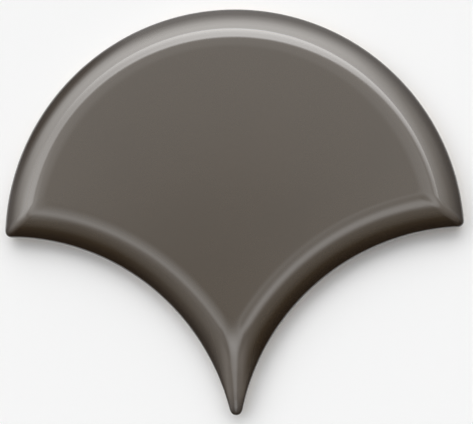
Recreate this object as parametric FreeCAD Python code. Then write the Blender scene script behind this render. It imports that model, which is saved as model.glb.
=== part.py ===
import FreeCAD, Part
import math
import os

os.makedirs("parts", exist_ok=True)

# One glazed fish scale tile, lying glazed face up. Units are millimetres.
# The origin is the centre of the round arc, on the plane the back rests on.
# +X goes along the width, +Y towards the middle of the round arc, +Z out of the glazed face.

# Outline: a round arc above, two coves below that leave a blunt tip between them.
# A cove has the round arc's radius, so that the round head of the next row's tile nests in it.
round_radius = 60.0
cove_radius = 60.0
cove_crest_height = 1.8
tip_reach = 46.0
tip_width = 2.5
tip_flat = 0.1
corner_round = 1.45

# Section: a straight wall, a rounded rim, a convex bevel, a soft crease and a flat field.
tile_thickness = 9.0
rim_round = 0.9
bevel_width = 5.0
bevel_slope_at_rim = 44.0
bevel_slope_at_crease = 17.0
crease_width = 1.9

# Softened edges: the ridges where the flanks of two sides meet, and the foot of the wall.
ridge_round = 0.6
back_arris = 0.5

# Back: shallow keying grooves side by side, kept inside a plain border.
groove_width = 4.5
groove_pitch = 8.0
groove_depth = 0.6
back_border = 7.0

# Length by which a cutting body reaches past what it cuts.
overrun = 2.0

up = FreeCAD.Vector(0, 0, 1)

# A cove's centre lies below the crest, and as far aside as leaves the tip its width.
cove_centre_below = cove_radius - cove_crest_height
cove_centre_aside = tip_width / 2 + math.sqrt(cove_radius ** 2 - (cove_centre_below - tip_reach) ** 2)


def vec(x, y, z):
    """A point or direction."""
    return FreeCAD.Vector(x, y, z)


def arc_point(radius, slope, from_slope):
    """Inward run and rise on an arc of the section, from one slope to a flatter one."""
    run = radius * (math.sin(from_slope) - math.sin(slope))
    rise = radius * (math.cos(slope) - math.cos(from_slope))
    return run, rise


def section_points():
    """Points of the section as (inward distance, height): ends and middles of its arcs."""
    rim_slope = math.radians(bevel_slope_at_rim)
    top_slope = math.radians(bevel_slope_at_crease)
    bevel_radius = bevel_width / (math.sin(rim_slope) - math.sin(top_slope))
    crease_radius = crease_width / math.sin(top_slope)
    arcs = [
        (rim_round, math.pi / 2, rim_slope),
        (bevel_radius, rim_slope, top_slope),
        (crease_radius, top_slope, 0.0),
    ]
    points = [(0.0, 0.0)]
    for radius, steep, flat in arcs:
        base_run, base_rise = points[-1]
        for slope in ((steep + flat) / 2, flat):
            run, rise = arc_point(radius, slope, steep)
            points.append((base_run + run, base_rise + rise))
    total_rise = points[-1][1]
    return [(run, tile_thickness - total_rise + rise) for run, rise in points]


section = section_points()
wall_height = section[0][1]
flank_width = section[-1][0]


def flank(place):
    """Edges of the section from the top of the wall to the field, laid out by place."""
    spots = [place(run, height) for run, height in section]
    edges = []
    for first in range(0, len(spots) - 1, 2):
        edges.append(Part.Arc(*spots[first:first + 3]).toShape())
    return edges


def closed_face(edges, corners):
    """A face from a run of edges and the corners that close it, in order."""
    start = edges[0].firstVertex().Point
    end = edges[-1].lastVertex().Point
    chain = [end] + corners + [start]
    lines = []
    for a, b in zip(chain, chain[1:]):
        lines.append(Part.makeLine(a, b))
    return Part.Face(Part.Wire(edges + lines))


def crown_disc():
    """The solid of the whole round arc, with the section all the way round."""
    edges = flank(lambda run, height: vec(round_radius - run, 0, height))
    corners = [vec(0, 0, tile_thickness), vec(0, 0, 0), vec(round_radius, 0, 0)]
    return closed_face(edges, corners).revolve(vec(0, 0, 0), up, 360)


def cove_cutter(side):
    """What one cove takes away: a post that widens upwards by the section."""
    edges = flank(lambda run, height: vec(cove_radius + run, 0, height))
    top = tile_thickness + overrun
    corners = [
        vec(cove_radius + flank_width, 0, top),
        vec(0, 0, top),
        vec(0, 0, -overrun),
        vec(cove_radius, 0, -overrun),
    ]
    post = closed_face(edges, corners).revolve(vec(0, 0, 0), up, 360)
    post.translate(vec(side * cove_centre_aside, -cove_centre_below, 0))
    return post


def tip_cutter():
    """What is taken away past the tip: a bar with the section along its near side."""
    edges = flank(lambda run, height: vec(-round_radius, run - tip_reach, height))
    top = tile_thickness + overrun
    far = -round_radius - overrun
    corners = [
        vec(-round_radius, flank_width - tip_reach, top),
        vec(-round_radius, far, top),
        vec(-round_radius, far, -overrun),
        vec(-round_radius, -tip_reach, -overrun),
    ]
    return closed_face(edges, corners).extrude(vec(2 * round_radius, 0, 0))


def reaches_foot(face):
    """Whether a face belongs to the upright sides or the back, which lie below the flanks."""
    return min(vertex.Z for vertex in face.Vertexes) < wall_height / 2


def ridges(shape):
    """Edges that climb from the rim to the field, where the flanks of two sides meet."""
    found = []
    for edge in shape.Edges:
        heights = sorted(vertex.Z for vertex in edge.Vertexes)
        on_sides = [reaches_foot(face) for face in shape.ancestorsOfType(edge, Part.Face)]
        if heights[-1] - heights[0] > 1e-3 and not any(on_sides):
            found.append(edge)
    return found


def upright_edges(shape):
    """Edges of a prism that stand upright, at its outline's corners."""
    found = []
    for edge in shape.Edges:
        ends = [v.Point for v in edge.Vertexes]
        if len(ends) == 2 and abs(ends[0].x - ends[1].x) + abs(ends[0].y - ends[1].y) < 1e-6:
            found.append(edge)
    return found


def outline_prism():
    """The outline as a straight prism, with its corners rounded and its back edge eased."""
    prism = Part.makeCylinder(round_radius, tile_thickness)
    coves = []
    for side in (-1, 1):
        centre = vec(side * cove_centre_aside, -cove_centre_below, -overrun)
        coves.append(Part.makeCylinder(cove_radius, tile_thickness + 2 * overrun, centre))
    below = Part.makeBox(
        2 * round_radius,
        round_radius,
        tile_thickness + 2 * overrun,
        vec(-round_radius, -tip_reach - round_radius, -overrun),
    )
    prism = prism.cut(coves + [below])
    side_corners = [e for e in upright_edges(prism) if abs(e.CenterOfMass.x) > tip_width]
    prism = prism.makeFillet(corner_round, side_corners)
    tip_corners = [e for e in upright_edges(prism) if abs(e.CenterOfMass.x) < tip_width]
    prism = prism.makeFillet((tip_width - tip_flat) / 2, tip_corners)
    foot = [e for e in prism.Edges if e.BoundBox.ZMax < 1e-3]
    return prism.makeChamfer(back_arris, foot)


def groove_ends(aside):
    """Where a groove standing aside from the middle starts and ends along Y."""
    outer = abs(aside) + groove_width / 2
    inner = abs(aside) - groove_width / 2
    reach = round_radius - back_border
    hollow = cove_radius + back_border
    if outer >= reach:
        return None
    high = math.sqrt(reach ** 2 - outer ** 2)
    lows = []
    for edge in (inner, outer):
        lows.append(math.sqrt(hollow ** 2 - (cove_centre_aside - edge) ** 2) - cove_centre_below)
    low = max(lows)
    if high - low < 2 * groove_width:
        return None
    return low, high


def groove(aside, low, high):
    """A shallow groove with round ends, cut up into the back."""
    half = groove_width / 2
    deep = groove_depth + overrun
    bar = Part.makeBox(groove_width, high - low - groove_width, deep, vec(aside - half, low + half, -overrun))
    ends = [Part.makeCylinder(half, deep, vec(aside, y, -overrun)) for y in (low + half, high - half)]
    return bar.fuse(ends).removeSplitter()


def keying_grooves():
    """All the grooves of the back, in pairs either side of the middle."""
    grooves = []
    aside = groove_pitch / 2
    while groove_ends(aside):
        low, high = groove_ends(aside)
        for side in (-1, 1):
            grooves.append(groove(side * aside, low, high))
        aside += groove_pitch
    return grooves


crown = crown_disc().cut([cove_cutter(-1), cove_cutter(1), tip_cutter()])
tile = crown.common(outline_prism()).removeSplitter().Solids[0]
tile = tile.makeFillet(ridge_round, ridges(tile))
tile = tile.cut(keying_grooves())
tile = max(tile.Solids, key=lambda solid: solid.Volume).removeSplitter()

if not tile.isValid():
    raise RuntimeError("the tile is not a valid solid")
tile.exportStep("parts/fish_scale_tile.step")
print("solids", len(tile.Solids), "faces", len(tile.Faces), "volume", round(tile.Volume, 1))
print("wall height", round(wall_height, 2), "flank width", round(flank_width, 2))
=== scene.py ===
import math

import bpy
import numpy as np
from bpy.props import FloatProperty, FloatVectorProperty, PointerProperty
from bpy.types import Operator, Panel, PropertyGroup
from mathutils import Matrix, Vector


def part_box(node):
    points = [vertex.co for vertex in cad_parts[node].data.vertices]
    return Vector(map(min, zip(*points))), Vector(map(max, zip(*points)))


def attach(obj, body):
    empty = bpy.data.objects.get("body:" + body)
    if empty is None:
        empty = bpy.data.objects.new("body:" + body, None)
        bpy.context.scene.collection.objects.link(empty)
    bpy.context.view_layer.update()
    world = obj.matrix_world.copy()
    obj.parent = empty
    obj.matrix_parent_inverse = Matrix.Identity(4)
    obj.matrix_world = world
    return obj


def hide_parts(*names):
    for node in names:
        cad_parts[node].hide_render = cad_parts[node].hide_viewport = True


bl_info = {
    "name": "Fish scale tile",
    "version": (1, 0, 0),
    "blender": (4, 5, 0),
    "location": "3D View > Sidebar > Fish scale tile",
    "description": "A glazed fish scale wall tile, with its floor, light and camera",
    "category": "Add Mesh",
}

MM = 0.001

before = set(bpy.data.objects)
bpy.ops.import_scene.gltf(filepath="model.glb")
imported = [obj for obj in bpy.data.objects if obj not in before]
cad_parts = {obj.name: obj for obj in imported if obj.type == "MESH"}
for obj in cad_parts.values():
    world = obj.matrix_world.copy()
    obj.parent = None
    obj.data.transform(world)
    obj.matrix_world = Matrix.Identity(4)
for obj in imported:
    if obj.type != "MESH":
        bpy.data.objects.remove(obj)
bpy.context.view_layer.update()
TILE_LOW, TILE_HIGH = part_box("fish_scale_tile")

# Columns across the tile, points of a loop round it, and rows of the field, the flanks, their rim
# and the back.
COLUMNS = 320
RING = 2 * COLUMNS - 2
FIELD_ROWS = 26
FLANK_ROWS = 40
RIM_ROWS = 7
BACK_ROWS = 150

# Share of a groove's half width that its sloping wall takes.
GROOVE_WALL = 0.22


class TileShape(PropertyGroup):
    """Sizes of the tile's outline, section and back."""

    round_radius: FloatProperty(
        name="Round arc radius",
        description="Radius of the round arc at the head, about the origin",
        default=TILE_HIGH[1], unit="LENGTH", precision=4)
    tip_reach: FloatProperty(
        name="Tip reach",
        description="Distance from the round arc's centre to the blunt end of the tip",
        default=-TILE_LOW[1], unit="LENGTH", precision=4)
    thickness: FloatProperty(
        name="Thickness",
        description="Height of the flat field above the back",
        default=TILE_HIGH[2], unit="LENGTH", precision=4)
    cove_radius: FloatProperty(
        name="Cove radius",
        description="Radius of the two hollow sides",
        default=60.0 * MM, unit="LENGTH", precision=4)
    cove_crest: FloatProperty(
        name="Cove crest",
        description="Height of the coves' crests above the round arc's centre",
        default=1.8 * MM, unit="LENGTH", precision=4)
    tip_width: FloatProperty(
        name="Tip width",
        description="Width of the outline where the tip ends",
        default=2.5 * MM, unit="LENGTH", precision=4)
    corner_softness: FloatProperty(
        name="Corner softness",
        description="Band over which two sides of the outline blend at a corner",
        default=2.1 * MM, unit="LENGTH", precision=4)
    ridge_softness: FloatProperty(
        name="Ridge softness",
        description="Widest band over which the flanks blend into the ridges of the side corners",
        default=2.1 * MM, unit="LENGTH", precision=4)
    tip_softness: FloatProperty(
        name="Tip softness",
        description="Widest band over which the flanks blend into the ridge of the tip",
        default=4.5 * MM, unit="LENGTH", precision=4)
    tip_narrowing: FloatProperty(
        name="Tip narrowing",
        description="Share by which the section shrinks towards the end of the tip",
        default=0.55, subtype="FACTOR", min=0.0, max=1.0)
    rim_round: FloatProperty(
        name="Rim radius",
        description="Radius of the rim where the wall turns into the bevel",
        default=0.9 * MM, unit="LENGTH", precision=4)
    bevel_width: FloatProperty(
        name="Bevel width",
        description="Width of the convex bevel in plan",
        default=5.0 * MM, unit="LENGTH", precision=4)
    bevel_slope_at_rim: FloatProperty(
        name="Slope at the rim",
        description="Slope of the bevel where it starts at the rim",
        default=math.radians(40.0), unit="ROTATION")
    bevel_slope_at_crease: FloatProperty(
        name="Slope at the crease",
        description="Slope of the bevel where it ends at the crease",
        default=math.radians(14.0), unit="ROTATION")
    crease_width: FloatProperty(
        name="Crease width",
        description="Width over which the glaze eases from the bevel into the field",
        default=5.0 * MM, unit="LENGTH", precision=4)
    glaze_line: FloatProperty(
        name="Glaze line",
        description="Height on the wall at which the glaze ends",
        default=1.7 * MM, unit="LENGTH", precision=4)
    glaze_thickness: FloatProperty(
        name="Glaze thickness",
        description="How far the glaze stands proud of the bare wall",
        default=0.12 * MM, unit="LENGTH", precision=4)
    back_arris: FloatProperty(
        name="Back arris",
        description="Size of the eased edge at the foot of the wall",
        default=0.5 * MM, unit="LENGTH", precision=4)
    groove_width: FloatProperty(
        name="Groove width",
        description="Width of a keying groove of the back",
        default=4.5 * MM, unit="LENGTH", precision=4)
    groove_pitch: FloatProperty(
        name="Groove pitch",
        description="Distance between the middles of two keying grooves",
        default=8.0 * MM, unit="LENGTH", precision=4)
    groove_depth: FloatProperty(
        name="Groove depth",
        description="Depth of a keying groove",
        default=0.6 * MM, unit="LENGTH", precision=4)
    back_border: FloatProperty(
        name="Back border",
        description="Width of the plain border round the grooves",
        default=7.0 * MM, unit="LENGTH", precision=4)


class GlazeLook(PropertyGroup):
    """Colours and finish of the glaze and the bare ceramic."""

    field_colour: FloatVectorProperty(
        name="Field colour",
        description="Colour of the glaze on the flat field",
        default=(0.064, 0.046, 0.028), subtype="COLOR", size=3)
    # Darker colour at the rim and down the wall: partly pooled glaze, partly painted shade.
    pooled_glaze_and_shade_colour: FloatVectorProperty(
        name="Pooled colour",
        description="Colour of the thick glaze that has run to the rim and the wall",
        default=(0.030, 0.020, 0.013), subtype="COLOR", size=3)
    # Lighter colour over the crease: partly thin glaze, partly a painted highlight.
    thin_glaze_and_highlight_colour: FloatVectorProperty(
        name="Thin colour",
        description="Lighter colour of the thin glaze over the crease",
        default=(0.100, 0.080, 0.062), subtype="COLOR", size=3)
    # Lightest colour over the ridges and the tip's crest: partly thin glaze, partly a painted
    # sheen.
    ridge_glaze_and_sheen_colour: FloatVectorProperty(
        name="Ridge colour",
        description="Lightest colour, of the thinnest glaze over the ridges",
        default=(0.130, 0.108, 0.088), subtype="COLOR", size=3)
    biscuit_colour: FloatVectorProperty(
        name="Biscuit colour",
        description="Colour of the bare fired ceramic",
        default=(0.62, 0.52, 0.40), subtype="COLOR", size=3)
    speck_colour: FloatVectorProperty(
        name="Speck colour",
        description="Colour of the specks in the bare ceramic",
        default=(0.20, 0.13, 0.08), subtype="COLOR", size=3)
    roughness: FloatProperty(
        name="Glaze roughness",
        description="Roughness of the glaze",
        default=0.07, subtype="FACTOR", min=0.0, max=1.0)
    refraction: FloatProperty(
        name="Glaze refraction",
        description="Index of refraction of the glaze",
        default=1.67, min=1.0)


class StudioLook(PropertyGroup):
    """Sizes and levels of the floor, the light and the camera."""

    floor_size: FloatProperty(
        name="Floor size",
        description="Width of the floor",
        default=8.0, unit="LENGTH")
    floor_colour: FloatVectorProperty(
        name="Floor colour",
        description="Colour of the floor",
        default=(0.93, 0.93, 0.93), subtype="COLOR", size=3)
    ceiling_level: FloatProperty(
        name="Ceiling level",
        description="Brightness of the ceiling round the dim spot above",
        default=0.97)
    wall_level: FloatProperty(
        name="Wall level",
        description="Brightness of the pale wall beyond the head of the tile",
        default=2.9)
    box_level: FloatProperty(
        name="Softbox level",
        description="Brightness that the softbox adds in front of the wall",
        default=1.85)
    camera_place: FloatVectorProperty(
        name="Camera place",
        description="Where the camera hangs",
        default=(37.6 * MM, -4.3 * MM, 445.7 * MM), size=3, subtype="TRANSLATION", unit="LENGTH")
    camera_turn: FloatVectorProperty(
        name="Camera turn",
        description="Angles of the camera, turned about Z first, then X, then Y",
        default=(math.radians(1.478), math.radians(4.721), math.radians(-1.258)),
        size=3, subtype="EULER")
    camera_lens: FloatProperty(
        name="Camera lens",
        description="Focal length on a sensor 36 mm wide",
        default=129.4)


def soft_min(a, b, band):
    """The smaller of two distances, blended by a parabola where they differ by less than band."""
    near = np.clip(band - np.abs(a - b), 0.0, None) / band
    return np.minimum(a, b) - near * near * band / 4


def ease(t):
    """Smooth step from 0 to 1 as t goes from 0 to 1."""
    t = np.clip(t, 0.0, 1.0)
    return t * t * (3 - 2 * t)


def cove_centre(shape):
    """How far aside of and below the origin the centre of a cove lies."""
    below = shape.cove_radius - shape.cove_crest
    rise = below - shape.tip_reach
    aside = shape.tip_width / 2 + math.sqrt(shape.cove_radius ** 2 - rise ** 2)
    return aside, below


def from_sides(x, y, shape):
    """How far a point of the plan lies inside the round arc and outside the left and right cove."""
    aside, below = cove_centre(shape)
    inside_arc = shape.round_radius - np.hypot(x, y)
    left, right = (np.hypot(x - place, y + below) - shape.cove_radius
                   for place in (-aside, aside))
    return inside_arc, left, right


def inset(x, y, shape):
    """How far a point of the plan lies inside the outline.

    It is the soft minimum of the distance inside the round arc, the distances outside the two
    coves and the distance above the end of the tip. The blend is tight at the outline, which
    rounds its corners, and widens with the sum of the two distances, up to a limit, which rounds
    the ridges and arches the narrow tip, and leaves the outline where it is.
    """
    def blend(a, b, widest):
        return soft_min(a, b, np.clip(a + b, shape.corner_softness, widest))

    inside_arc, left, right = from_sides(x, y, shape)
    above_tip = y + shape.tip_reach
    coves = blend(left, right, shape.tip_softness)
    sides = blend(coves, inside_arc, shape.ridge_softness)
    return blend(sides, above_tip, shape.tip_softness)


def ridge_glaze_and_sheen(x, y, depth, shape):
    """Share of thin glaze and painted sheen over the ridges of corners and tip, from 0 to 1.

    It follows the difference of the distances to the two nearest sides. At a corner it falls off
    evenly from the ridge. On the tip it is strongest on both sides of the crest. It dies
    down towards the rim, where the field starts and at the end of the tip.
    """
    corner_most = 0.6
    tip_band = 2.8 * shape.tip_softness
    tip_from = -0.4 * shape.tip_reach
    nearest, second = np.sort(from_sides(x, y, shape), axis=0)[:2]
    apart = second - nearest
    at_corner = corner_most * ease(1 - apart / shape.ridge_softness)
    on_tip = np.interp(ease(1 - apart / tip_band), [0.0, 0.45, 0.8, 1.0], [0.0, 0.3, 1.0, 0.65])
    share = np.where(y < tip_from, on_tip, at_corner)

    rim_fade, field_fade = 0.4, 0.3
    end_fade = 0.13 * shape.tip_reach
    bevels_in = depth / section_scale(y, shape) / shape.bevel_width
    past_rim = ease(bevels_in / rim_fade)
    before_field = 1 - ease((bevels_in - 1) / field_fade)
    before_end = ease((y + shape.tip_reach) / end_fade)
    return past_rim * before_field * before_end * share


def corners_of(insets, shape):
    """Place of the right-hand corner of each contour of equal inset, as (x, y) arrays.

    Along each upright line near the corner the greatest inset is found, with a parabola through
    the three highest samples. The corner lies where that greatest inset equals the contour's.
    """
    # The part of the plan where corners lie, in shares of the head's radius.
    x = np.linspace(0.6, 1.0, 500) * shape.round_radius
    y = np.linspace(-0.02, 0.35, 700) * shape.round_radius
    depth = inset(x[:, None], y[None, :], shape)
    top = np.clip(depth.argmax(axis=1), 1, len(y) - 2)
    rows = np.arange(len(x))
    before, at, after = (depth[rows, top + step] for step in (-1, 0, 1))
    shift = 0.5 * (before - after) / (before - 2 * at + after)
    best = at - 0.25 * (before - after) * shift
    place = y[top] + shift * (y[1] - y[0])
    return np.interp(insets, best[::-1], x[::-1]), np.interp(insets, best[::-1], place[::-1])


def contours(insets, across, shape):
    """Closed loops of equal inset, one row each, as (x, y) arrays.

    A column keeps its share of the contour's half width, so the columns run from the rim to the
    field and meet the corners. The upper and lower chains are found by halving an interval in y
    between the corner's level and a point outside. A row is the upper chain from left to right,
    then the lower chain back, without its ends.
    """
    margin, halvings = 2 * MM, 44
    insets = np.asarray(insets, dtype=float)[:, None]
    corner_x, corner_y = corners_of(insets[:, 0], shape)
    x = corner_x[:, None] * across[None, :]
    level = np.broadcast_to(corner_y[:, None], x.shape)
    chains = []
    for outside in (shape.round_radius + margin, -shape.tip_reach - margin):
        near, far = level.copy(), np.full(x.shape, outside)
        for _ in range(halvings):
            middle = (near + far) / 2
            inner = inset(x, middle, shape) > insets
            near = np.where(inner, middle, near)
            far = np.where(inner, far, middle)
        chain = (near + far) / 2
        chain[:, [0, -1]] = corner_y[:, None]
        chains.append(chain)
    upper, lower = chains
    back = slice(-2, 0, -1)
    return np.hstack([x, x[:, back]]), np.hstack([upper, lower[:, back]])


def section_height(depth, shape):
    """How far the face has risen from the top of the wall, and the depth where the field starts.

    Three arcs follow each other without a kink: the rim, from upright to the bevel's steepest
    slope, the bevel, to its flattest, and the crease, down to level. On an arc the sine of the
    slope falls evenly with depth, and the height follows its cosine.
    """
    steep, flat = math.sin(shape.bevel_slope_at_rim), math.sin(shape.bevel_slope_at_crease)
    arcs = [
        (1.0, steep, shape.rim_round * (1 - steep)),
        (steep, flat, shape.bevel_width),
        (flat, 0.0, shape.crease_width),
    ]
    height = np.zeros_like(depth)
    start = 0.0
    for sine_from, sine_to, width in arcs:
        radius = width / (sine_from - sine_to)
        run = np.clip(depth - start, 0.0, width)
        sine = sine_from - run / radius
        height += radius * (np.sqrt(1 - sine ** 2) - math.sqrt(1 - sine_from ** 2))
        start += width
    return height, start


def wall_top(shape):
    """Height of the top of the wall above the back, and the depth where the field starts."""
    on_field = np.array([shape.round_radius])
    rise, field_start = section_height(on_field, shape)
    return shape.thickness - float(rise[0]), field_start


def section_scale(y, shape):
    """Size of the section, 1 but for the tip, towards whose end it shrinks along a smooth step."""
    start = 0.48 * shape.tip_reach
    return 1 - shape.tip_narrowing * ease((-y - start) / (shape.tip_reach - start))


def face_height(x, y, depth, shape):
    """Height of the glazed face: the section, less a faint wave as a flowed glaze has.

    The wave is a sum of three slow sines across the plan and fades out towards the rim. It is
    lowered by the most that they add up to, so the face nowhere stands above the section.
    """
    scale = section_scale(y, shape)
    rise, field_start = section_height(depth / scale, shape)
    wave = (np.sin(x / (6.1 * MM) + 0.7) * np.sin(y / (7.3 * MM))
            + np.sin((x + y) / (9.7 * MM) + 2.0)
            + np.sin((x - 1.7 * y) / (14.0 * MM)))
    wave_size, most = 0.004 * MM, 3.0
    lowered = wave_size * (most + wave) * ease(depth / field_start)
    return wall_top(shape)[0] + scale * rise - lowered


def columns_across(shape):
    """Shares of the half width at which the columns stand, from -1 to 1.

    They crowd at the two corners, where the outline turns, and at the middle, where the sides of
    the tip stand nearly upright, and the nearest ones are moved onto the walls of the grooves.
    """
    t = np.linspace(-1, 1, 20001)
    corners = 1 / np.sqrt(1.0004 - t ** 2)
    tip_walls = 5.0 / (1 + (t / 0.035) ** 2)
    tip_flanks = 0.6 / (1 + (t / 0.25) ** 2)
    crowd = corners + tip_walls + tip_flanks
    count = np.concatenate([[0], np.cumsum((crowd[1:] + crowd[:-1]) / 2)])
    across = np.interp(np.linspace(0, 1, COLUMNS), count / count[-1], t)
    across = (across - across[::-1]) / 2
    half = corners_of(np.array([shape.back_arris]), shape)[0][0]
    foot, top = 0.5, 0.5 * (1 - GROOVE_WALL)
    for aside, _, _ in groove_places(shape):
        for wall in (-foot, -top, top, foot):
            share = (aside + wall * shape.groove_width) / half
            across[np.abs(across - share).argmin()] = share
    return np.sort(across)


def groove_places(shape):
    """Keying grooves inside the back's border, as (place across, low end, high end)."""
    aside_of_cove, below = cove_centre(shape)
    reach = shape.round_radius - shape.back_border
    hollow = shape.cove_radius + shape.back_border
    places = []
    aside = shape.groove_pitch / 2
    while aside + shape.groove_width / 2 < reach:
        outer, inner = aside + shape.groove_width / 2, aside - shape.groove_width / 2
        high = math.sqrt(reach ** 2 - outer ** 2)
        low = max(math.sqrt(hollow ** 2 - (aside_of_cove - edge) ** 2) - below
                  for edge in (inner, outer))
        if high - low > 2 * shape.groove_width:
            places += [(-aside, low, high), (aside, low, high)]
        aside += shape.groove_pitch
    return places


def back_height(x, y, shape):
    """Height of the back above the bed: 0 on the land, up to the groove depth in the grooves.

    The depth follows the distance to the groove's middle line, level in the middle and easing
    out over its sloping walls, with round ends.
    """
    height = np.zeros_like(x)
    half = shape.groove_width / 2
    for aside, low, high in groove_places(shape):
        along = np.clip(y, low + half, high - half)
        away = np.hypot(x - aside, y - along) / half
        height = np.maximum(height, shape.groove_depth * ease((1.0 - away) / GROOVE_WALL))
    return height


def glaze_edge(x, y, shape):
    """Height at which the glaze ends along the wall: nearly level, with a drip here and there.

    It follows three sines of the turn about the middle of the tile. Where two more add up to
    nearly their most, the glaze has run down in a drip.
    """
    middle = 10 * MM
    turn = np.arctan2(y - middle, x)
    uneven = (0.22 * np.sin(5 * turn + 0.4)
              + 0.16 * np.sin(13 * turn + 1.9)
              + 0.10 * np.sin(31 * turn))
    drips_from = 0.9
    drip = np.clip(np.sin(9 * turn + 2.2) + 0.5 * np.sin(4 * turn), drips_from, None) - drips_from
    return shape.glaze_line + (uneven - 1.1 * drip) * MM


def flank_loops(across, shape):
    """Loops of the flanks from the edge of the field out to the rim, as (x, y, z, depth).

    They lie evenly on the bevel and the crease, and the closer together the nearer they lie to
    the wall on the rim, where the section is steepest.
    """
    rim_end = shape.rim_round * (1 - math.sin(shape.bevel_slope_at_rim))
    field_start = wall_top(shape)[1]
    depths = np.concatenate([
        rim_end * np.linspace(0, 1, RIM_ROWS) ** 2,
        np.linspace(rim_end, field_start, FLANK_ROWS - RIM_ROWS + 1)[1:],
    ])[::-1]
    x, y = contours(depths, across, shape)
    depth = np.broadcast_to(depths[:, None], x.shape)
    return list(zip(x, y, face_height(x, y, depth, shape), depth))


def wall_loops(rim, across, shape):
    """Loops of the glazed and of the bare wall below the rim's loop, as (x, y, z, depth).

    The glaze runs straight down, turns in over its lip and ends on the bare wall. This stands back
    by the glaze's thickness and eases in at its foot. The depth of the wall is how far it lies
    below its top, taken as negative, and below the lip it is that of the foot.
    """
    def contour(depth):
        x, y = contours([depth], across, shape)
        return x[0], y[0]

    rim_x, rim_y = rim[:2]
    bare_x, bare_y = contour(shape.glaze_thickness)
    foot_x, foot_y = contour(shape.back_arris)
    top = wall_top(shape)[0]
    edge = glaze_edge(rim_x, rim_y, shape)
    lowest = np.full_like(edge, -top)
    lip_top, lip_foot, eased = 0.14 * MM, 0.02 * MM, 0.12 * MM

    glazed = []
    for share in (0.3, 0.65, 1.0):
        z = top + (edge + lip_top - top) * share
        glazed.append((rim_x, rim_y, z, z - top))
    glazed.append(((rim_x + bare_x) / 2, (rim_y + bare_y) / 2, edge + lip_foot, lowest))
    glazed.append((bare_x, bare_y, edge, lowest))

    bare = []
    levels = ((0.0, shape.back_arris - shape.glaze_thickness), (0.3, eased), (1.0, 0.0))
    for inwards, level in levels:
        x = bare_x + (foot_x - bare_x) * inwards
        y = bare_y + (foot_y - bare_y) * inwards
        bare.append((x, y, np.full_like(edge, level), lowest))
    return glazed, bare


def grid_between(loop, rows):
    """Points on upright lines between a loop's upper and lower chain, as (x, y) arrays."""
    x, y = loop[:2]
    upper = y[1:COLUMNS - 1]
    lower = y[:COLUMNS - 1:-1]
    share = np.linspace(0, 1, rows + 1)[1:-1]
    across = np.repeat(x[1:COLUMNS - 1, None], rows - 1, axis=1)
    return across, upper[:, None] + (lower - upper)[:, None] * share[None, :]


def field_grid(loop, shape):
    """Points of the face inside its innermost loop, as (x, y, z, depth)."""
    x, y = grid_between(loop, FIELD_ROWS)
    depth = inset(x, y, shape)
    return x, y, face_height(x, y, depth, shape), depth


def back_grid(loop, shape):
    """Points of the back inside the loop of its foot, as (x, y, z, depth)."""
    x, y = grid_between(loop, BACK_ROWS)
    return x, y, back_height(x, y, shape), np.full_like(x, -wall_top(shape)[0])


def grid_faces(loop_start, grid_start, rows, upward):
    """Quads and triangles that fill a loop with its grid, facing up or down."""
    index = np.empty((COLUMNS, rows + 1), dtype=int)
    index[:, 0] = loop_start + np.arange(COLUMNS)
    index[:, rows] = loop_start + (-np.arange(COLUMNS)) % RING
    grid = index[1:-1, 1:rows]
    grid[:] = grid_start + np.arange(grid.size).reshape(grid.shape)
    left_end, right_end = index[0, 0], index[-1, 0]
    before, after = index[1:-2], index[2:-1]
    quads = np.stack([before[:, :-1], before[:, 1:], after[:, 1:], after[:, :-1]], axis=-1)
    left = np.stack([np.full(rows, left_end), index[1, 1:], index[1, :-1]], axis=-1)
    right = np.stack([index[-2, :-1], index[-2, 1:], np.full(rows, right_end)], axis=-1)
    quads, triangles = quads.reshape(-1, 4), np.vstack([left, right])
    if not upward:
        quads, triangles = quads[:, ::-1], triangles[:, ::-1]
    return quads, triangles


def loop_faces(first, count):
    """Quads between count loops that follow each other, the first starting at an index."""
    start = first + np.arange(count - 1)[:, None] * RING
    here = start + np.arange(RING)
    beside = start + (np.arange(RING) + 1) % RING
    return np.stack([here, beside, beside + RING, here + RING], axis=-1).reshape(-1, 4)


def make_mesh(name, points, faces, slots):
    """A mesh from points, a list of face arrays and the material slot of each array."""
    mesh = bpy.data.meshes.new(name)
    sizes = np.concatenate([np.full(len(f), f.shape[1]) for f in faces])
    starts = np.concatenate([[0], np.cumsum(sizes)[:-1]])
    corners = np.concatenate([f.ravel() for f in faces])
    materials = np.concatenate([np.full(len(f), slot) for f, slot in zip(faces, slots)])
    mesh.vertices.add(len(points))
    mesh.vertices.foreach_set("co", points.astype(np.float32).ravel())
    mesh.loops.add(len(corners))
    mesh.loops.foreach_set("vertex_index", corners.astype(np.int32))
    mesh.polygons.add(len(sizes))
    mesh.polygons.foreach_set("loop_start", starts.astype(np.int32))
    mesh.polygons.foreach_set("material_index", materials.astype(np.int32))
    mesh.polygons.foreach_set("use_smooth", np.ones(len(sizes), dtype=bool))
    mesh.update(calc_edges=True)
    mesh.validate()
    return mesh


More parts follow.
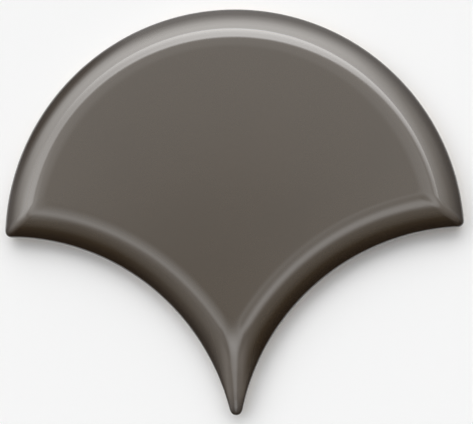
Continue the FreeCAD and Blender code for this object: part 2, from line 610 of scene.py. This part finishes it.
def tile_mesh(shape):
    """The whole tile as one closed skin: field, flanks, glazed wall, bare wall and keyed back.

    Loops follow each other from the edge of the field over the flanks and down the wall. Points
    on upright lines between the first loop's two chains fill the field, and between the last
    one's the back. Each point keeps its depth inside the outline, in millimetres of the full
    section, and its share of lightening over the ridges, partly thin glaze and partly a painted
    sheen.
    """
    across = columns_across(shape)
    flanks = flank_loops(across, shape)
    glazed_wall, bare_wall = wall_loops(flanks[-1], across, shape)
    loops = flanks + glazed_wall + bare_wall
    field = field_grid(loops[0], shape)
    back = back_grid(loops[-1], shape)
    x, y, z, depth = (np.concatenate([part.ravel() for part in parts])
                      for parts in zip(*loops, field, back))

    glaze_loops = len(flanks) + len(glazed_wall)
    field_at = len(loops) * RING
    back_at = field_at + field[0].size
    faces = [
        *grid_faces(0, field_at, FIELD_ROWS, upward=True),
        loop_faces(0, glaze_loops),
        loop_faces((glaze_loops - 1) * RING, len(bare_wall) + 1),
        *grid_faces((len(loops) - 1) * RING, back_at, BACK_ROWS, upward=False),
    ]
    glaze, biscuit = 0, 1
    mesh = make_mesh("fish_scale_tile_glazed", np.column_stack([x, y, z]), faces,
                     [glaze, glaze, glaze, biscuit, biscuit, biscuit])

    # The ridge layer holds the share of thin glaze and painted sheen over the ridges.
    layers = {
        "depth": depth / section_scale(y, shape) / MM,
        "ridge": ridge_glaze_and_sheen(x, y, depth, shape) * (depth >= 0),
    }
    for name, values in layers.items():
        layer = mesh.attributes.new(name, "FLOAT", "POINT")
        layer.data.foreach_set("value", values.astype(np.float32))
    return mesh


class NodeMaker:
    """Adds nodes to a tree in rows, so that a material reads from left to right."""

    def __init__(self, tree):
        self.tree = tree
        self.count = 0

    def add(self, kind, inputs=None, **settings):
        """A node of a kind, with its settings and its inputs set or linked."""
        node = self.tree.nodes.new(kind)
        row, column = divmod(self.count, 6)
        node.location = (200 * column - 1200, -260 * row)
        self.count += 1
        for name, value in settings.items():
            setattr(node, name, value)
        self.connect(node, inputs or {})
        return node

    def connect(self, node, inputs):
        """Link the inputs of a node to sockets, or set them to values."""
        for key, value in inputs.items():
            if isinstance(value, bpy.types.NodeSocket):
                self.tree.links.new(value, node.inputs[key])
            else:
                node.inputs[key].default_value = value

    def math(self, operation, *values, clamp=False):
        """The result of a Math node on up to three values or sockets."""
        node = self.add("ShaderNodeMath", dict(enumerate(values)),
                        operation=operation, use_clamp=clamp)
        return node.outputs[0]

    def product(self, first, *others):
        """The product of two or more values or sockets."""
        for other in others:
            first = self.math("MULTIPLY", first, other)
        return first

    def total(self, first, *others):
        """The sum of two or more values or sockets."""
        for other in others:
            first = self.math("ADD", first, other)
        return first

    def attribute(self, name):
        """An attribute of the mesh."""
        return self.add("ShaderNodeAttribute", attribute_name=name).outputs["Fac"]

    def noise(self, place, scale, detail, roughness):
        """A noise texture at a place."""
        inputs = {"Vector": place, "Scale": scale, "Detail": detail, "Roughness": roughness}
        return self.add("ShaderNodeTexNoise", inputs).outputs["Fac"]

    def bump(self, strength, distance, height):
        """The normal of a surface that a height bumps."""
        inputs = {"Strength": strength, "Distance": distance, "Height": height}
        return self.add("ShaderNodeBump", inputs).outputs["Normal"]

    def mix_colour(self, factor, first, second, blend="MIX"):
        """The colour from first to second, by factor."""
        node = self.add("ShaderNodeMix", {0: factor, 6: first, 7: second},
                        data_type="RGBA", blend_type=blend)
        return node.outputs[2]

    def shade(self, colour, level):
        """A colour, made darker or lighter by a level about 1."""
        grey = self.add("ShaderNodeCombineColor", {0: level, 1: level, 2: level}).outputs[0]
        return self.mix_colour(1.0, colour, grey, blend="MULTIPLY")

    def ramp(self, factor, stops, interpolation="EASE"):
        """A colour ramp with stops as (position, value)."""
        node = self.add("ShaderNodeValToRGB", {0: factor})
        ramp = node.color_ramp
        ramp.interpolation = interpolation
        while len(ramp.elements) < len(stops):
            ramp.elements.new(1.0)
        for element, (position, value) in zip(ramp.elements, stops):
            element.position = position
            element.color = (value, value, value, 1.0)
        return node.outputs[0]


def new_material(name):
    """An empty material with its Principled shader and a maker for more nodes."""
    material = bpy.data.materials.new(name)
    material.use_nodes = True
    tree = material.node_tree
    shader = tree.nodes["Principled BSDF"]
    return material, shader, NodeMaker(tree)


def rgba(colour):
    """A colour property with full alpha."""
    return tuple(colour) + (1.0,)


def glaze_material(look):
    """Glossy taupe glaze, darker at the rim and lighter over crease and ridges.

    The darker rim is partly pooled glaze, partly painted shade. The lighter crease and ridges
    are partly thin glaze, partly a painted highlight.
    """
    material, shader, make = new_material("taupe_glaze")
    place = make.add("ShaderNodeTexCoord").outputs["Object"]

    # Depths inside the outline between which the ramps run, in millimetres like their stops.
    least, most = -4.0, 16.0
    above_least = make.math("SUBTRACT", make.attribute("depth"), least)
    position = make.math("DIVIDE", above_least, most - least, clamp=True)

    def by_depth(stops):
        return make.ramp(position, [((deep - least) / (most - least), value)
                                    for deep, value in stops])

    # Painted shade, partly pooled glaze: the colour darkens towards the rim and down the wall.
    pooled_and_shaded = by_depth([(least, 1.0), (0.4, 1.0), (4.5, 0.0)])
    # Painted highlight, partly thin glaze: a lighter band over the crease.
    crease = by_depth([(5.4, 0.0), (6.4, 0.6), (7.0, 0.45), (8.6, 0.0)])
    colour = make.mix_colour(pooled_and_shaded, rgba(look.field_colour), rgba(look.pooled_glaze_and_shade_colour))
    colour = make.mix_colour(crease, colour, rgba(look.thin_glaze_and_highlight_colour))
    # Painted sheen, partly thin glaze: lighter over the ridges and the tip's crest.
    colour = make.mix_colour(make.attribute("ridge"), colour, rgba(look.ridge_glaze_and_sheen_colour))

    cloud = make.noise(place, 38.0, 4.0, 0.55)
    fine = make.noise(place, 900.0, 3.0, 0.6)
    ripple = make.noise(place, 240.0, 2.0, 0.4)
    level = make.total(make.math("MULTIPLY_ADD", cloud, 0.22, 0.89),
                       make.math("MULTIPLY_ADD", fine, 0.10, -0.05))
    make.connect(shader, {
        "Base Color": make.shade(colour, level),
        "Roughness": make.math("MULTIPLY_ADD", fine, 0.03, look.roughness - 0.015),
        "Normal": make.bump(0.04, 0.2 * MM, ripple),
        "IOR": look.refraction,
        "Coat Weight": 1.0,
        "Coat IOR": look.refraction,
        "Coat Roughness": 0.03,
    })
    return material


def biscuit_material(look):
    """Bare fired ceramic: pale, matt and grainy, with a few darker specks."""
    material, shader, make = new_material("bare_biscuit")
    place = make.add("ShaderNodeTexCoord").outputs["Object"]
    cloud = make.noise(place, 60.0, 5.0, 0.6)
    grain = make.noise(place, 1600.0, 2.0, 0.7)
    level = make.total(make.math("MULTIPLY_ADD", cloud, 0.30, 0.80),
                       make.math("MULTIPLY_ADD", grain, 0.24, -0.12))
    colour = make.shade(rgba(look.biscuit_colour), level)

    cells = make.add("ShaderNodeTexVoronoi", {"Vector": place, "Scale": 420.0})
    near_middle = make.ramp(cells.outputs["Distance"], [(0.0, 0.7), (0.10, 0.5), (0.16, 0.0)])
    few = make.ramp(cells.outputs["Color"], [(0.0, 1.0), (0.22, 1.0), (0.26, 0.0)], "LINEAR")
    specks = make.product(near_middle, few)
    make.connect(shader, {
        "Base Color": make.mix_colour(specks, colour, rgba(look.speck_colour)),
        "Roughness": 0.86,
        "Normal": make.bump(0.35, 0.3 * MM, grain),
    })
    return material


def floor_material(colour):
    """Plain matt floor."""
    material, shader, make = new_material("pale_floor")
    make.connect(shader, {"Base Color": rgba(colour), "Roughness": 1.0, "Specular IOR Level": 0.0})
    return material


def new_object(name, data):
    """An object with its data, linked into the scene at the origin."""
    obj = bpy.data.objects.new(name, data)
    bpy.context.scene.collection.objects.link(obj)
    return obj


class FISHSCALE_OT_tile(Operator):
    """Make the glazed tile with its bare wall and keyed back"""

    bl_idname = "fish_scale.tile"
    bl_label = "Tile"

    def execute(self, context):
        scene = context.scene
        mesh = tile_mesh(scene.tile_shape)
        mesh.materials.append(glaze_material(scene.glaze_look))
        mesh.materials.append(biscuit_material(scene.glaze_look))
        tile = new_object("glazed_tile", mesh)
        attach(tile, "root")
        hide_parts("fish_scale_tile")
        return {"FINISHED"}


def floor_mesh(size):
    """A level square of four corners, on which the tile lies."""
    half = size / 2
    corners = [(-half, -half, 0.0), (half, -half, 0.0), (half, half, 0.0), (-half, half, 0.0)]
    mesh = bpy.data.meshes.new("floor")
    mesh.from_pydata(corners, [], [(0, 1, 2, 3)])
    return mesh


class RoomMaker(NodeMaker):
    """Adds nodes of a world whose brightness follows the direction alone."""

    def __init__(self, tree):
        super().__init__(tree)
        self.direction = self.add("ShaderNodeTexCoord").outputs["Generated"]
        self.height = self.along(0.0, 0.0, 1.0)
        square = self.product(self.height, self.height)
        self.flatness = self.math("SQRT", self.math("SUBTRACT", 1.0001, square))

    def along(self, *axis):
        """Cosine of the angle from an axis."""
        unit = [part / math.hypot(*axis) for part in axis]
        node = self.add("ShaderNodeVectorMath", {0: self.direction, 1: unit},
                        operation="DOT_PRODUCT")
        return node.outputs["Value"]

    def towards(self, x, y):
        """Cosine of the angle in plan from a level axis: 1 straight at it, -1 away from it."""
        return self.math("DIVIDE", self.along(x, y, 0.0), self.flatness)

    def by_degrees(self, angle, stops):
        """A value that follows an angle, with stops as (degrees, value)."""
        share = self.math("DIVIDE", angle, math.pi / 2)
        return self.ramp(share, [(degrees / 90, value) for degrees, value in stops], "LINEAR")

    def by_angle(self, axis, stops):
        """A value that follows the angle from an axis."""
        return self.by_degrees(self.math("ARCCOSINE", self.along(*axis)), stops)

    def by_side(self, cosine, stops):
        """A value that follows a cosine in plan, with stops as (cosine, value)."""
        share = self.math("MULTIPLY_ADD", cosine, 0.5, 0.5)
        return self.ramp(share, [(0.5 + 0.5 * side, value) for side, value in stops], "LINEAR")


def leaning(left, back):
    """An axis that leans from straight up by degrees towards -X and -Y."""
    return -math.sin(math.radians(left)), -math.sin(math.radians(back)), 1.0


def ceiling_light(room, ahead, look):
    """Brightness of the ceiling and of the dark room behind, which ends at a pale horizon.

    The ceiling brightens outwards, round a dim spot above, where the camera hangs, with a fainter
    patch beside it.
    """
    spot = room.by_angle(leaning(6.0, 3.0), [
        (0, 0.34), (2.5, 0.40), (5, 0.53), (7, 0.65), (9.7, 0.78), (12, 0.86), (15, 0.97),
        (18, 1.0)])
    edge = room.by_angle(leaning(3.4, -3.0), [
        (21.5, 1.0), (24, 0.75), (26, 0.42), (28.5, 0.26), (36, 0.20), (44, 0.13), (56, 0.0),
        (86, 0.0), (89, 0.94)])
    nearer = room.by_side(ahead, [(-1.0, 1.25), (-0.3, 1.15), (0.3, 1.0), (1.0, 0.92)])
    patch = room.by_angle(leaning(-6.4, 6.2), [(2.5, 0.60), (6.5, 1.0)])
    return room.product(spot, edge, nearer, look.ceiling_level, patch)


def opening_light(room):
    """How bright the wall is beyond the opening in the ceiling, before it falls off to the sides.

    The opening is a rectangle with round corners in a ceiling at a height of 1. It is grown until
    it meets the direction, and the growth is turned into an angle as if the opening were a circle.
    The wall sets in where that angle passes the opening's own, and fades towards the horizon.
    """
    power, own_angle = 2.6, math.radians(22.0)
    above = room.math("MAXIMUM", room.height, 0.01)
    powers = []
    for axis, offset, half in (((1.0, 0.0, 0.0), 0.07, 0.47), ((0.0, 1.0, 0.0), 0.0, 0.40)):
        place = room.total(room.math("DIVIDE", room.along(*axis), above), offset)
        share = room.math("DIVIDE", room.math("ABSOLUTE", place), half)
        powers.append(room.math("POWER", share, power))
    growth = room.math("POWER", room.total(*powers), 1 / power)
    angle = room.math("ARCTANGENT", room.product(growth, math.tan(own_angle)))
    return room.by_degrees(angle, [
        (20.8, 0.0), (21.6, 0.17), (23.4, 0.90), (35.0, 0.97), (45.0, 1.0), (55.0, 0.83),
        (65.0, 0.51), (75.0, 0.30)])


def softbox_light(room, ahead, look):
    """Brightness of a softbox that is brightest along its far edge and narrows to its ends.

    It narrows because the angles are stretched about the middle of its band, the more the
    farther it lies to the side.
    """
    middle = math.radians(32.4)
    angle = room.math("ARCCOSINE", room.along(*leaning(6.0, 0.0)))
    stretch = room.math("MULTIPLY_ADD", ahead, -1.6, 2.6)
    stretched = room.math("MULTIPLY_ADD", room.math("SUBTRACT", angle, middle), stretch, middle)
    band = room.by_degrees(stretched, [
        (22, 0.0), (26, 0.05), (28, 0.22), (30, 0.45), (32, 0.82), (33.2, 1.0), (34.8, 1.0),
        (35.9, 0.0)])
    side = room.by_side(room.towards(0.26, 0.966), [
        (0.0, 0.0), (0.26, 0.14), (0.5, 0.48), (0.71, 0.76), (0.87, 0.93), (1.0, 1.0)])
    return room.product(band, side, look.box_level)


def room_light(look):
    """World light of the studio, worked out from the direction alone.

    A ceiling ends at an opening, beyond which a pale wall with a softbox before it stands ahead.
    Both fall off to the sides. A dark doorway stands low on the left and a fainter one higher on
    the right. A small lamp hangs over the side of the tip and a soft one on the left.
    """
    world = bpy.data.worlds.new("studio_room")
    bpy.context.scene.world = world
    world.use_nodes = True
    room = RoomMaker(world.node_tree)
    ahead = room.towards(-0.14, 0.99)

    wall_side = room.by_side(ahead, [
        (-0.7, 0.0), (-0.45, 0.07), (-0.15, 0.20), (0.0, 0.26), (0.2, 0.38), (0.4, 0.50),
        (0.7, 0.70), (1.0, 1.0)])
    softbox = softbox_light(room, ahead, look)
    wall = room.product(
        opening_light(room),
        room.math("MULTIPLY_ADD", wall_side, look.wall_level, softbox),
        room.by_angle((-0.79, 0.60, 0.10), [(12, 0.35), (26, 1.0)]),
        room.by_angle((0.75, 0.40, 0.53), [(12, 0.64), (28, 1.0)]))
    lamp = room.by_angle((-0.10, -0.40, 0.91), [(6, 0.40), (12, 0.0)])
    left_lamp = room.by_angle((-0.60, 0.02, 0.80), [(5, 0.75), (17, 0.0)])
    level = room.total(ceiling_light(room, ahead, look), lamp, wall, left_lamp)
    background = world.node_tree.nodes["Background"]
    room.connect(background, {"Color": (1.0, 1.0, 1.0, 1.0), "Strength": level})


def add_camera(look):
    """The camera looks down on the tile from a little to its right, slightly turned."""
    data = bpy.data.cameras.new("camera")
    data.sensor_width = 36.0
    data.lens = look.camera_lens
    camera = new_object("camera", data)
    camera.location = look.camera_place
    camera.rotation_mode = "ZXY"
    camera.rotation_euler = look.camera_turn
    bpy.context.scene.camera = camera


class FISHSCALE_OT_stage(Operator):
    """Make the floor, the studio light and the camera"""

    bl_idname = "fish_scale.stage"
    bl_label = "Stage"

    def execute(self, context):
        scene = context.scene
        look = scene.studio_look
        floor = new_object("floor", floor_mesh(look.floor_size))
        floor.data.materials.append(floor_material(look.floor_colour))
        room_light(look)
        add_camera(look)
        scene.view_settings.view_transform = "Standard"
        return {"FINISHED"}


class FISHSCALE_PT_sidebar(Panel):
    """Lists the tile's sizes, its look and the stage"""

    bl_label = "Fish scale tile"
    bl_idname = "FISHSCALE_PT_sidebar"
    bl_space_type = "VIEW_3D"
    bl_region_type = "UI"
    bl_category = "Fish scale tile"

    def draw(self, context):
        layout = self.layout
        scene = context.scene
        for operator, group in (("fish_scale.tile", scene.tile_shape),
                                ("fish_scale.tile", scene.glaze_look),
                                ("fish_scale.stage", scene.studio_look)):
            box = layout.box()
            for name in group.__annotations__:
                box.prop(group, name)
            box.operator(operator)


CLASSES = (
    TileShape, GlazeLook, StudioLook,
    FISHSCALE_OT_tile, FISHSCALE_OT_stage, FISHSCALE_PT_sidebar,
)


def register():
    """Register the classes and hang the property groups on the scene."""
    for cls in CLASSES:
        bpy.utils.register_class(cls)
    bpy.types.Scene.tile_shape = PointerProperty(type=TileShape)
    bpy.types.Scene.glaze_look = PointerProperty(type=GlazeLook)
    bpy.types.Scene.studio_look = PointerProperty(type=StudioLook)


def unregister():
    """Take the property groups off the scene and unregister the classes."""
    for name in ("tile_shape", "glaze_look", "studio_look"):
        delattr(bpy.types.Scene, name)
    for cls in reversed(CLASSES):
        bpy.utils.unregister_class(cls)


def main():
    """Make the tile and its stage."""
    register()
    bpy.ops.fish_scale.tile()
    bpy.ops.fish_scale.stage()


if __name__ == "__main__":
    main()
